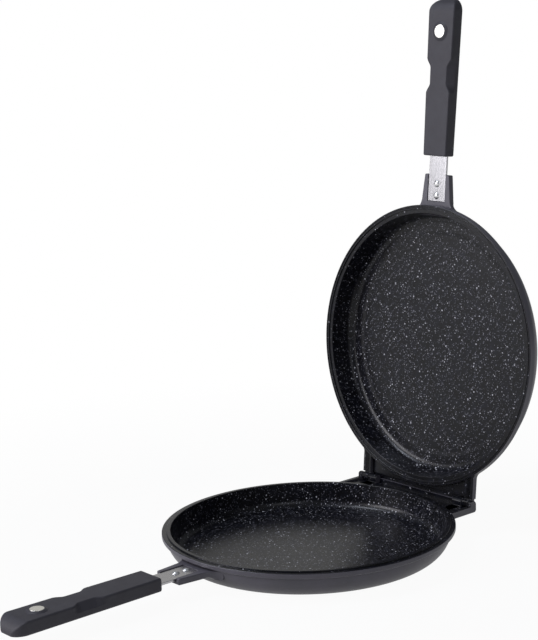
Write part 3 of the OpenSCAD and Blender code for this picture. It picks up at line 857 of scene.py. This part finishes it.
    def side_rib(self, side: int, web_y: float) -> Shell:
        """The rib along one side of the upper web, flared into the rim.

        Its outer face stands at x = x1 and bends outwards along a circle of radius f that touches
        both that face and the rim: x = x1 + f - sqrt(f^2 - (y - yc)^2).
        """
        (inner, outer), f = self.side_rib_x, self.side_flare
        yc = math.sqrt((self.rim_r + f) ** 2 - (outer + f) ** 2)
        end = self.pan.hinge_y + web_y
        y, cut = rounded_end(np.linspace(self.side_rib_y, end - self.edge, 22), end, self.edge)
        far = outer + f - np.sqrt(np.maximum(f ** 2 - np.minimum(y - yc, 0) ** 2, 0)) - cut
        rings = []
        for yy, x1, k in zip(y, far, cut):
            ring = rounded([(inner + k, -self.bracket_d + k, 0.4 * MM), (x1, -self.bracket_d + k, 0.5 * MM),
                            (x1, -0.3 * MM - k, 0.6 * MM), (inner + k, -0.3 * MM - k, 0.5 * MM)], True, 5)
            rings.append(station(ring * (side, 1), yy))
        return loft(np.array(rings))

    def build(self) -> None:
        """Makes the casting and puts it in its half."""
        profile, slots = self.bowl_profile()
        shells = [lathe(profile, slots), self.lug().moved(to_handle), *self.bracket()]
        placed = [shell.moved(lambda p: self.pan.place(p, self.half)) for shell in shells]
        coats = [self.outside, self.inside, self.rim_coat_and_hinge_shade]
        piece = make_object(f"{self.half.value}_pan_casting", placed, coats)
        settle(piece, self.half, "coated_casting", f"{self.half.value}_pan")


@dataclass
class Handle:
    """A half's handle: steel strip, two rivets, and a moulded grip with its magnet.

    Args:
        half: The half that it belongs to.
        pan: The frame of the pans.
        finishes: The material of each material slot.
    """

    half: Half
    pan: PanFrame
    finishes: dict[str, Material]
    strip_y: Pair = (138.5 * MM, 189.5 * MM)
    strip_half: float = 11.0 * MM
    strip_face: float = 8.2 * MM
    strip_t: float = 2.2 * MM
    strip_edge: float = 0.35 * MM
    rivet_y: Pair = (144.0 * MM, 155.3 * MM)
    head_r: float = 3.5 * MM
    head_h: float = 1.8 * MM
    tail_r: float = 3.2 * MM
    tail_h: float = 1.2 * MM
    shank_r: float = 2.0 * MM
    lug_back: float = 13.4 * MM
    grip_y: Pair = (181.5 * MM, 328.0 * MM)
    grip_half: Pair = (14.8 * MM, 16.7 * MM)
    grip_face: float = 2.0 * MM
    grip_t: float = 12.5 * MM
    tip_r: float = 12.0 * MM
    taper_end: float = 9.0 * MM
    grip_edge: float = 1.2 * MM
    side_edges: Triple = (2.6 * MM, 1.2 * MM, 1.9 * MM)
    waist_y: Pair = (240.0 * MM, 273.0 * MM)
    waist_ramp: float = 9.0 * MM
    waist_inset: float = 5.6 * MM
    waist_d: float = 6.5 * MM
    magnet_y: float = 297.6 * MM
    magnet_r: float = 6.2 * MM
    magnet_top: float = 0.6 * MM
    magnet_t: float = 5.0 * MM
    magnet_gap: float = 0.05 * MM
    collar_r: float = 9.4 * MM
    collar_h: float = 1.2 * MM
    collar_w: float = 0.65 * MM
    screw_y: float = 206.0 * MM
    screw_head_r: float = 3.45 * MM
    screw_r: float = 1.8 * MM
    screw_sink: float = 0.3 * MM
    screw_head_h: float = 1.7 * MM
    screw_depth: float = 9.3 * MM

    def placed(self, *shells: Shell) -> list[Shell]:
        """Surfaces drawn along +Y, turned along the handle and put in their half."""
        return [shell.moved(lambda p: self.pan.place(to_handle(p), self.half)) for shell in shells]

    def strip(self) -> Shell:
        """The flat strip, from its end on the lug to its shoulders inside the grip."""
        top, low = -self.strip_face, -self.strip_face - self.strip_t
        (y0, y1), r = self.strip_y, self.strip_edge
        outline = rounded([(y0, low, r), (y1, low, r), (y1, top, r), (y0, top, r)], True, 4)
        return slab(-self.strip_half, self.strip_half, lambda _: outline, 0.4 * MM, 6)

    def rivet(self, y: float) -> Shell:
        """A rivet at y: a head shaped as a cap of a sphere, a shank and a formed tail.

        The cap has height h over a radius a, so its sphere has the radius (a^2 + h^2) / 2h.
        """
        top, tail, h = -self.strip_face, -self.lug_back, self.head_h
        ball = (self.head_r ** 2 + h ** 2) / (2 * h)
        rise = np.linspace(math.asin(self.head_r / ball) * 0.93, 0, 12)
        dome = [(ball * math.sin(a), top + h - ball + ball * math.cos(a), 0.0) for a in rise]
        corners = [(0, tail - self.tail_h, 0), (self.tail_r, tail - self.tail_h, 0.5 * MM),
                   (self.tail_r, tail, 0.1 * MM), (self.shank_r, tail, 0.1 * MM),
                   (self.shank_r, top, 0.1 * MM), (self.head_r, top, 0.05 * MM), *dome]
        turned = lathe(rounded(corners, False, 6), None, 64)
        return turned.moved(lambda p: p + np.array([0, y, 0]))

    def grip(self) -> Shell:
        """The grip as sections along +Y.

        Its face is flat, then follows a quarter circle of radius equal to its thickness down to the
        back at the tip, and its plan corners follow circles of the tip radius. In the waist the
        sides slope in towards the face by the inset, which rises and falls over the ramps.
        """
        y0, y1 = self.grip_y
        back = -self.grip_face - self.grip_t
        arc = np.linspace(0, math.pi / 2, 17)
        tip = y1 - self.grip_t + (self.grip_t - 0.25 * MM) * np.sin(arc)
        c = self.grip_edge
        v = np.linspace(0, math.pi / 2, 6)
        w0, w1 = self.waist_y
        body = np.unique(np.concatenate([np.linspace(y0 + c, y1 - self.grip_t, 60),
                                         [w0, w0 + self.waist_ramp, w1 - self.waist_ramp, w1]]))
        y = np.concatenate([y0 + c * (1 - np.cos(v))[:-1], body[:-1], tip])
        cut = np.concatenate([c * (1 - np.sin(v))[:-1], np.zeros(len(body) - 1 + len(tip))])
        bulge = np.sqrt(np.maximum(self.grip_t ** 2 - np.maximum(y - (y1 - self.grip_t), 0) ** 2, 0))
        face = back + bulge - cut
        past = np.maximum(y - (y1 - self.tip_r), 0)
        side = self.tip_r - np.sqrt(np.maximum(self.tip_r ** 2 - past ** 2, 0))
        width = np.interp(y, [y0, y1 - self.taper_end], self.grip_half) - side - cut
        steps = np.interp(y, [w0, w0 + self.waist_ramp, w1 - self.waist_ramp, w1], [0, 1, 1, 0])
        bite = np.maximum(self.waist_inset * (steps ** 2 * (3 - 2 * steps)), 0.02 * MM)
        back_r, mid_r, face_r = self.side_edges
        rings = []
        for yy, w, hi, k, b in zip(y, width, face, cut, bite):
            lo = back + k
            mid = max(hi - self.waist_d, lo + 0.45 * (hi - lo))
            r = min(face_r, 0.4 * (hi - mid))
            ring = rounded([(-w, lo, back_r), (w, lo, back_r), (w, mid, mid_r), (w - b, hi, r),
                            (-w + b, hi, r), (-w, mid, mid_r)], True, 5)
            rings.append(station(ring, yy))
        return loft(np.array(rings))

    def turned(self, corners: Sequence[Corner], y: float, turns: int = 64) -> Shell:
        """A lathed surface that stands on the grip's face at y, from corners (radius, height, rounding)."""
        return lathe(rounded(corners, False, 5), None, turns).moved(lambda p: p + np.array([0, y, 0]))

    def cutters(self) -> list[Shell]:
        """The magnet's bore and the screw's countersunk hole, which both start outside the grip."""
        back, clear = -self.grip_face - self.grip_t, 1 * MM
        bore, low = self.magnet_r + self.magnet_gap, -self.magnet_top - self.magnet_t - self.magnet_gap
        magnet = [(0, low, 0), (bore, low, 0), (bore, clear, 0), (0, clear, 0)]
        seat, end = back + self.screw_sink, back + self.screw_depth
        screw = [(0, back - clear, 0), (self.screw_head_r, back - clear, 0), (self.screw_head_r, seat, 0),
                 (self.screw_r, seat + self.screw_head_h, 0), (self.screw_r, end, 0), (0, end, 0)]
        return [self.turned(magnet, self.magnet_y), self.turned(screw, self.screw_y, 40)]

    def collar(self) -> Shell:
        """The sloping collar moulded round the magnet's bore."""
        bore, face = self.magnet_r + self.magnet_gap, -self.grip_face
        top, foot = face + self.collar_h, face - 1 * MM
        corners = [(bore, foot, 0), (bore, top, 0.15 * MM), (bore + self.collar_w, top, 0.3 * MM),
                   (self.collar_r, face, 0.3 * MM), (self.collar_r, foot, 0), (bore, foot, 0)]
        return self.turned(corners, self.magnet_y)

    def magnet(self) -> Shell:
        """The round magnet in the grip's face, with a finely rounded edge."""
        low, top = -self.magnet_top - self.magnet_t, -self.magnet_top
        return self.turned([(0, low, 0), (self.magnet_r, low, 0.2 * MM), (self.magnet_r, top, 0.3 * MM),
                            (0, top, 0)], self.magnet_y)

    def build(self) -> None:
        """Makes the handle's pieces and puts them in their half."""
        rows = [("strip", self.strip(), "strip_steel", "handle_strip")]
        for word, y in zip(("inner", "outer"), self.rivet_y):
            rows.append((f"{word}_rivet_turned", self.rivet(y), "rivet_steel", f"{word}_rivet"))
        rows += [("grip_moulding", self.grip(), "grip_plastic", "grip"),
                 ("magnet_disc", self.magnet(), "magnet_nickel", "grip_magnet")]
        for word, shell, slot, node in rows:
            piece = make_object(f"{self.half.value}_{word}", self.placed(shell), [self.finishes[slot]])
            if node == "grip":
                cut_away(piece, self.placed(*self.cutters()), self.placed(self.collar()))
            settle(piece, self.half, slot, f"{self.half.value}_{node}")


# The picture


@dataclass(frozen=True)
class Studio:
    """Camera, floor and lamps.

    The camera was fitted to the photograph's rims, rivets, magnets and hinge. Its focal length
    and its principal point are in pixels of the 538 by 640 frame.
    """

    azimuth: float = math.radians(48.996)
    elevation: float = math.radians(12.294)
    roll: float = math.radians(-2.001)
    distance: float = 1.570334
    target: Triple = (-0.032025, 0.0, 0.189008)
    focal_px: float = 1718.26
    centre_px: Pair = (279.395, 346.86)
    size_px: Pair = (538.0, 640.0)
    sensor: float = 36.0
    lamp_aim: Triple = (0.0, 0.0, 0.15)
    floor_half: float = 12.0
    floor_grey: float = 0.55
    floor_mirror: float = 0.75
    # Painted shade round the object: within shadow_r, in metres, the floor's glowing share falls towards the
    # first shadow_white value.
    shadow_r: Pair = (0.3, 0.7)
    shadow_white: Pair = (0.95, 1.0)

    def camera(self) -> None:
        """Creates the camera and makes it the scene's."""
        a, e, r = self.azimuth, self.elevation, self.roll
        back = Vector((math.sin(a) * math.cos(e), -math.cos(a) * math.cos(e), math.sin(e)))
        right = Vector((math.cos(a), math.sin(a), 0))
        up = back.cross(right)
        across, rise = right * math.cos(r) + up * math.sin(r), up * math.cos(r) - right * math.sin(r)
        data = bpy.data.cameras.new("camera")
        data.sensor_width = self.sensor
        data.lens = self.focal_px / max(self.size_px) * self.sensor
        data.shift_x = (self.size_px[0] / 2 - self.centre_px[0]) / max(self.size_px)
        data.shift_y = (self.centre_px[1] - self.size_px[1] / 2) / max(self.size_px)
        data.clip_start, data.clip_end = 0.05, 50
        eye = bpy.data.objects.new("camera", data)
        place = Vector(self.target) + back * self.distance
        eye.matrix_world = Matrix.Translation(place) @ Matrix((across, rise, back)).transposed().to_4x4()
        bpy.context.scene.collection.objects.link(eye)
        bpy.context.scene.camera = eye

    def lamp(self, name: str, place: Triple, size: float, power: float, tint: str) -> None:
        """Adds a square lamp that faces the middle of the object."""
        data = bpy.data.lights.new(name, "AREA")
        data.shape, data.size, data.energy = "SQUARE", size, power
        data.color = linear(tint)[:3]
        lamp = bpy.data.objects.new(name, data)
        lamp.visible_camera = False
        aim = Vector(self.lamp_aim) - Vector(place)
        lamp.matrix_world = Matrix.Translation(place) @ aim.to_track_quat("-Z", "Y").to_matrix().to_4x4()
        bpy.context.scene.collection.objects.link(lamp)

    def floor(self) -> None:
        """Adds a pale floor that keeps the object's soft shadow and shows white to the camera.

        Round the object its white is let down a little, a painted shade, so that the object stands on
        something.
        """
        mesh = bpy.data.meshes.new("floor")
        s = self.floor_half
        mesh.from_pydata([(-s, -s, 0), (s, -s, 0), (s, s, 0), (-s, s, 0)], [], [(0, 1, 2, 3)])
        material = bpy.data.materials.new("pale_floor")
        tree = cleared(material)
        path, coords = add(tree, "LightPath"), add(tree, "TexCoord")
        reach = add(tree, "VectorMath", {"operation": "LENGTH"}, {0: coords.outputs["Object"]})
        # Painted shade: the glowing share drops a little towards the object, whatever light falls there.
        white = ramp(tree, reach.outputs["Value"], *self.shadow_r, *self.shadow_white)
        seen = add(tree, "Math", {"operation": "MULTIPLY_ADD"},
                   {0: path.outputs["Is Glossy Ray"], 2: path.outputs["Is Camera Ray"]},
                   {1: self.floor_mirror})
        share = add(tree, "Math", {"operation": "MULTIPLY", "use_clamp": True},
                    {0: seen.outputs[0], 1: white})
        matt = add(tree, "BsdfDiffuse", values={"Color": (*[self.floor_grey] * 3, 1)})
        glow = add(tree, "Emission", values={"Color": (1, 1, 1, 1), "Strength": 1.0})
        mix = add(tree, "MixShader", links={0: share.outputs[0], 1: matt.outputs[0], 2: glow.outputs[0]})
        add(tree, "OutputMaterial", links={"Surface": mix.outputs[0]})
        mesh.materials.append(material)
        floor = bpy.data.objects.new("floor", mesh)
        bpy.context.scene.collection.objects.link(floor)

    def world(self) -> None:
        """Sets a soft surround that the camera sees as white."""
        world = bpy.data.worlds.new("surround")
        bpy.context.scene.world = world
        tree = cleared(world)
        path = add(tree, "LightPath")
        soft = add(tree, "Background", values={"Color": linear("e4e8ee"), "Strength": 0.3})
        white = add(tree, "Background", values={"Color": (1, 1, 1, 1), "Strength": 1.0})
        mix = add(tree, "MixShader",
                  links={0: path.outputs["Is Camera Ray"], 1: soft.outputs[0], 2: white.outputs[0]})
        add(tree, "OutputWorld", links={"Surface": mix.outputs[0]})

    def build(self) -> None:
        """Sets up the camera, the floor, the surround and the lamps (place in m, size in m, watts)."""
        self.camera()
        self.floor()
        self.world()
        self.lamp("front_left_softbox", (-0.9, -1.7, 0.85), 1.0, 26, "fbf9ff")
        self.lamp("top_softbox", (-0.6, -0.65, 1.6), 0.55, 11, "eaf1ff")
        self.lamp("right_softbox", (1.5, -0.6, 1.0), 0.8, 3.0, "f2f4ff")
        self.lamp("left_card", (-1.5, -1.4, 0.62), 0.5, 0.8, "ffffff")
        self.lamp("back_card", (-1.25, 0.85, 0.42), 0.9, 0.95, "fffbf2")
        bpy.context.scene.view_settings.view_transform = "Standard"


def dress(node: str, material: Material) -> None:
    """Gives a node of the frame its material."""
    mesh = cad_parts[node].data
    mesh.materials.clear()
    mesh.materials.append(material)
    LOG.info("%s: %s", node, material.name)


def main() -> None:
    """Builds the two halves and the studio."""
    outside = CastEnamel().material()
    inside = StoneCoating("sprayed_stone_fleck_coating", 0.7).material()
    # The rims' near-black coat, also laid on the hinge brackets as partly painted shade.
    rim_coat_and_hinge_shade = StoneCoating("coating_on_rim_and_painted_hinge_shade", 0.12).material()
    finishes = {
        slot: Steel(name, colour, rough, tuple(length * MM for length in marks), depth).material()
        for slot, name, colour, rough, marks, depth in (
            ("strip_steel", "brushed_stainless_strip", "a9a8aa", (0.2, 0.3), (0.3, 14, 14), 0.04),
            ("rivet_steel", "bright_rivet_steel", "d2d2d2", (0.3, 0.38), (0.6, 0.6, 0.6), 0.03),
            ("pin_steel", "ground_pin_steel", "a9a9a8", (0.25, 0.35), (9, 0.3, 0.3), 0.1),
            ("magnet_nickel", "polished_nickel_magnet", "dcdad4", (0.16, 0.24), (0.9, 0.9, 0.9), 0.01),
            ("screw_steel", "plated_screw_steel", "b4b3ae", (0.22, 0.34), (0.8, 0.8, 0.8), 0.1))}
    finishes["grip_plastic"] = Phenolic().material()
    pan = PanFrame()
    for half in Half:
        Casting(half, pan, outside, inside, rim_coat_and_hinge_shade).build()
        Handle(half, pan, finishes).build()
        dress(f"{half.value}_grip_screw", finishes["screw_steel"])
    for side in ("left", "right"):
        dress(f"{side}_hinge_pin", finishes["pin_steel"])
    Studio().build()


if __name__ == "__main__":
    main()
